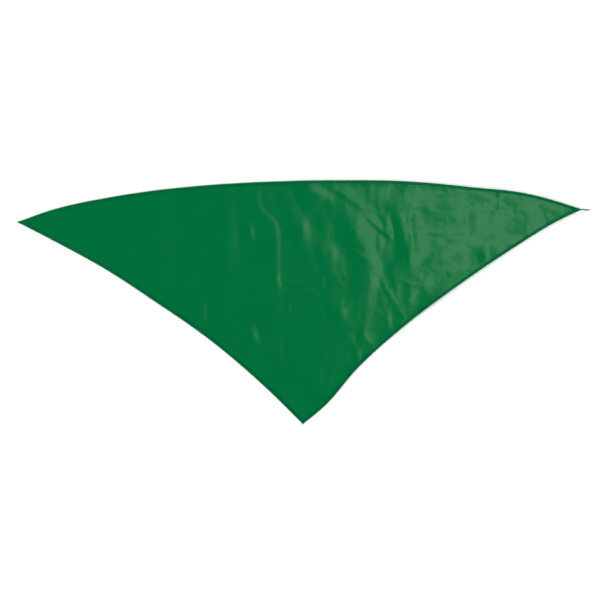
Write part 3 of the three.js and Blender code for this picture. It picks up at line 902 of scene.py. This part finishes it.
class NECKERCHIEF_OT_overlock(bpy.types.Operator):
    """The overlocked edges, thread by thread"""

    bl_idname = "neckerchief.overlock"
    bl_label = "Overlocked edges"

    def execute(self, context):
        settings = context.scene.overlock_settings
        cloth = context.scene.cloth_settings
        outline = Outline(cloth)
        material = thread_material("spun polyester thread", settings.thread_hex)
        winding = take_shape(model_winding(settings, cloth.thickness))
        needle = take_shape(model_needle_stitch(settings, cloth.thickness))
        edges = (
            ("long_edge_threads", "long_edge_overlock", outline.long, TIP_ANGLE, TIP_ANGLE),
            ("left_edge_threads", "left_edge_overlock", outline.left, TIP_ANGLE, POINT_ANGLE),
            ("right_edge_threads", "right_edge_overlock", outline.right, POINT_ANGLE, TIP_ANGLE),
        )
        for name, node, edge, start, end in edges:
            points, faces = along_edge(edge, winding, settings.pitch, settings, cloth, start, end)
            more, more_faces = along_edge(
                edge, needle, settings.needle_pitch, settings, cloth, start, end)
            offset = len(points)
            faces += [tuple(offset + index for index in face) for face in more_faces]
            new_piece(name, np.concatenate((points, more)), faces, [node], material)
        return {"FINISHED"}


class NECKERCHIEF_OT_chain(bpy.types.Operator):
    """The short end of thread chain at the right tip"""

    bl_idname = "neckerchief.chain"
    bl_label = "Thread chain"

    def execute(self, context):
        settings = context.scene.overlock_settings
        outline = Outline(context.scene.cloth_settings)
        material = thread_material("spun polyester thread of the chain", settings.thread_hex)
        link = settings.chain_length / settings.chain_links
        tip = outline.long.at(np.array([1.0]))[0]
        way = (math.cos(settings.chain_turn), math.sin(settings.chain_turn))
        deselect_all()
        bpy.ops.mesh.primitive_torus_add(
            major_segments=14, minor_segments=6, major_radius=link * 0.52,
            minor_radius=settings.thread * 0.5)
        loop = bpy.context.object
        bpy.ops.object.mode_set(mode="EDIT")
        bpy.ops.mesh.select_all(action="SELECT")
        bpy.ops.transform.resize(value=LOOP_SHAPE, center_override=(0, 0, 0))
        bpy.ops.object.mode_set(mode="OBJECT")
        points, faces = take_shape(loop)
        copies, made = [], []
        for k in range(settings.chain_links):
            tilt = LOOP_TILT if k % 2 else -LOOP_TILT
            turned = points.copy()
            turned[:, 1] = points[:, 1] * math.cos(tilt) - points[:, 2] * math.sin(tilt)
            turned[:, 2] = points[:, 1] * math.sin(tilt) + points[:, 2] * math.cos(tilt)
            along = turned[:, 0] + link * (k + CHAIN_START)
            across = turned[:, 1] + CHAIN_WAVE * math.sin(k * CHAIN_WAVE_TURN)
            x = tip[0] + along * way[0] - across * way[1]
            y = tip[1] + along * way[1] + across * way[0]
            z = np.maximum(turned[:, 2] + settings.thread * CHAIN_LEVEL, CHAIN_CLEARANCE)
            made += [tuple(index + k * len(points) for index in face) for face in faces]
            copies.append(np.column_stack((x, y, z)))
        new_piece("thread_chain_end", np.concatenate(copies), made, [], material)
        return {"FINISHED"}


# The stage with its light


class NECKERCHIEF_OT_stage(bpy.types.Operator):
    """Camera, pale floor and soft studio light"""

    bl_idname = "neckerchief.stage"
    bl_label = "Studio"

    def execute(self, context):
        settings = context.scene.studio_settings
        scene = context.scene
        deselect_all()
        bpy.ops.object.camera_add(
            location=(*settings.aim, settings.camera_height), rotation=(0, 0, 0))
        camera = context.object
        camera.name = "camera_above"
        camera.data.lens = settings.lens
        camera.data.sensor_width = SENSOR_WIDTH
        camera.data.clip_end = 100.0
        scene.camera = camera

        deselect_all()
        bpy.ops.mesh.primitive_plane_add(size=FLOOR_SIZE, location=(0, 0, -FLOOR_GAP))
        floor = context.object
        floor.name = "studio_floor"
        material, tree, shader = shader_tree("matt white paper")
        where = add_node(tree, "ShaderNodeTexCoord").outputs["Object"]
        tree.links.new(
            tinted(tree, where, settings.floor_hex, 3.0, 0.004), shader.inputs["Base Color"])
        shader.inputs["Roughness"].default_value = 1.0
        shader.inputs["Specular IOR Level"].default_value = 0.0
        floor.data.materials.append(material)

        # Four large softboxes far from the set, well outside what the face mirrors to the camera
        for name, place in SOFTBOXES:
            deselect_all()
            bpy.ops.object.light_add(
                type="SUN", location=place,
                rotation=Vector(place).to_track_quat("Z", "Y").to_euler())
            softbox = context.object
            softbox.name = name
            softbox.data.angle = settings.softbox_angle
            softbox.data.energy = settings.softbox_level

        # A light tent all round the set. Overhead it is dark on the left and grows bright
        # towards the right, so only cloth that tilts to the right, or lies there, has a sheen.
        world = bpy.data.worlds.new("light_tent")
        world.use_nodes = True
        scene.world = world
        tree = world.node_tree
        tree.nodes.clear()
        way = add_node(tree, "ShaderNodeTexCoord").outputs["Generated"]
        turned = add_node(tree, "ShaderNodeMapping", {
            "Vector": way, "Rotation": (0.0, 0.0, -settings.window_turn),
        })
        split = add_node(tree, "ShaderNodeSeparateXYZ", {"Vector": turned.outputs["Vector"]})
        up = add_node(
            tree, "ShaderNodeMath", {0: split.outputs["Z"], 1: LOWEST_UP}, operation="MAXIMUM")
        slope = add_node(tree, "ShaderNodeMath", {
            0: split.outputs["X"], 1: up.outputs["Value"]}, operation="DIVIDE")
        window = add_node(tree, "ShaderNodeMapRange", {
            "Value": slope.outputs["Value"], "From Min": settings.window_start,
            "From Max": settings.window_start + settings.window_blend,
            "To Min": 0.0, "To Max": settings.window_level,
        }, interpolation_type="SMOOTHSTEP")
        fade = add_node(tree, "ShaderNodeMapRange", {
            "Value": slope.outputs["Value"], "From Min": settings.window_fade_start,
            "From Max": settings.window_fade_end, "To Min": 1.0, "To Max": settings.window_fade,
        }, interpolation_type="SMOOTHSTEP")
        faded = add_node(tree, "ShaderNodeMath", {
            0: window.outputs["Result"], 1: fade.outputs["Result"]}, operation="MULTIPLY")
        tent = add_node(tree, "ShaderNodeMapRange", {
            "Value": split.outputs["Z"], "From Min": TENT_RIM[0], "From Max": TENT_RIM[1],
            "To Min": settings.tent_level, "To Max": 0.0,
        }, interpolation_type="SMOOTHSTEP")
        level = add_node(tree, "ShaderNodeMath", {
            0: faded.outputs["Value"], 1: tent.outputs["Result"]}, operation="MAXIMUM")
        light = add_node(tree, "ShaderNodeBackground", {
            "Color": (1.0, 1.0, 1.0, 1.0), "Strength": level.outputs["Value"],
        })
        output = add_node(tree, "ShaderNodeOutputWorld")
        tree.links.new(light.outputs["Background"], output.inputs["Surface"])

        scene.view_settings.view_transform = "Standard"
        scene.view_settings.look = "None"
        return {"FINISHED"}


class NECKERCHIEF_PT_panel(bpy.types.Panel):
    """The neckerchief's pieces and their settings"""

    bl_label = "Neckerchief"
    bl_idname = "NECKERCHIEF_PT_panel"
    bl_space_type = "VIEW_3D"
    bl_region_type = "UI"
    bl_category = "Neckerchief"

    def draw(self, context):
        layout = self.layout
        for operator, settings in PARTS:
            layout.operator(operator)
            if settings:
                group = getattr(context.scene, settings)
                for name in group.__annotations__:
                    layout.prop(group, name)


PARTS = (
    ("neckerchief.stage", "studio_settings"),
    ("neckerchief.cloth", "cloth_settings"),
    ("neckerchief.overlock", "overlock_settings"),
    ("neckerchief.chain", None),
)

CLASSES = (
    ClothSettings,
    OverlockSettings,
    StudioSettings,
    NECKERCHIEF_OT_stage,
    NECKERCHIEF_OT_cloth,
    NECKERCHIEF_OT_overlock,
    NECKERCHIEF_OT_chain,
    NECKERCHIEF_PT_panel,
)


def register():
    for item in CLASSES:
        bpy.utils.register_class(item)
    bpy.types.Scene.cloth_settings = PointerProperty(type=ClothSettings)
    bpy.types.Scene.overlock_settings = PointerProperty(type=OverlockSettings)
    bpy.types.Scene.studio_settings = PointerProperty(type=StudioSettings)


def unregister():
    for name in ("cloth_settings", "overlock_settings", "studio_settings"):
        delattr(bpy.types.Scene, name)
    for item in reversed(CLASSES):
        bpy.utils.unregister_class(item)


def main():
    register()
    bpy.ops.neckerchief.stage()
    bpy.ops.neckerchief.cloth()
    bpy.ops.neckerchief.overlock()
    bpy.ops.neckerchief.chain()


if __name__ == "__main__":
    main()
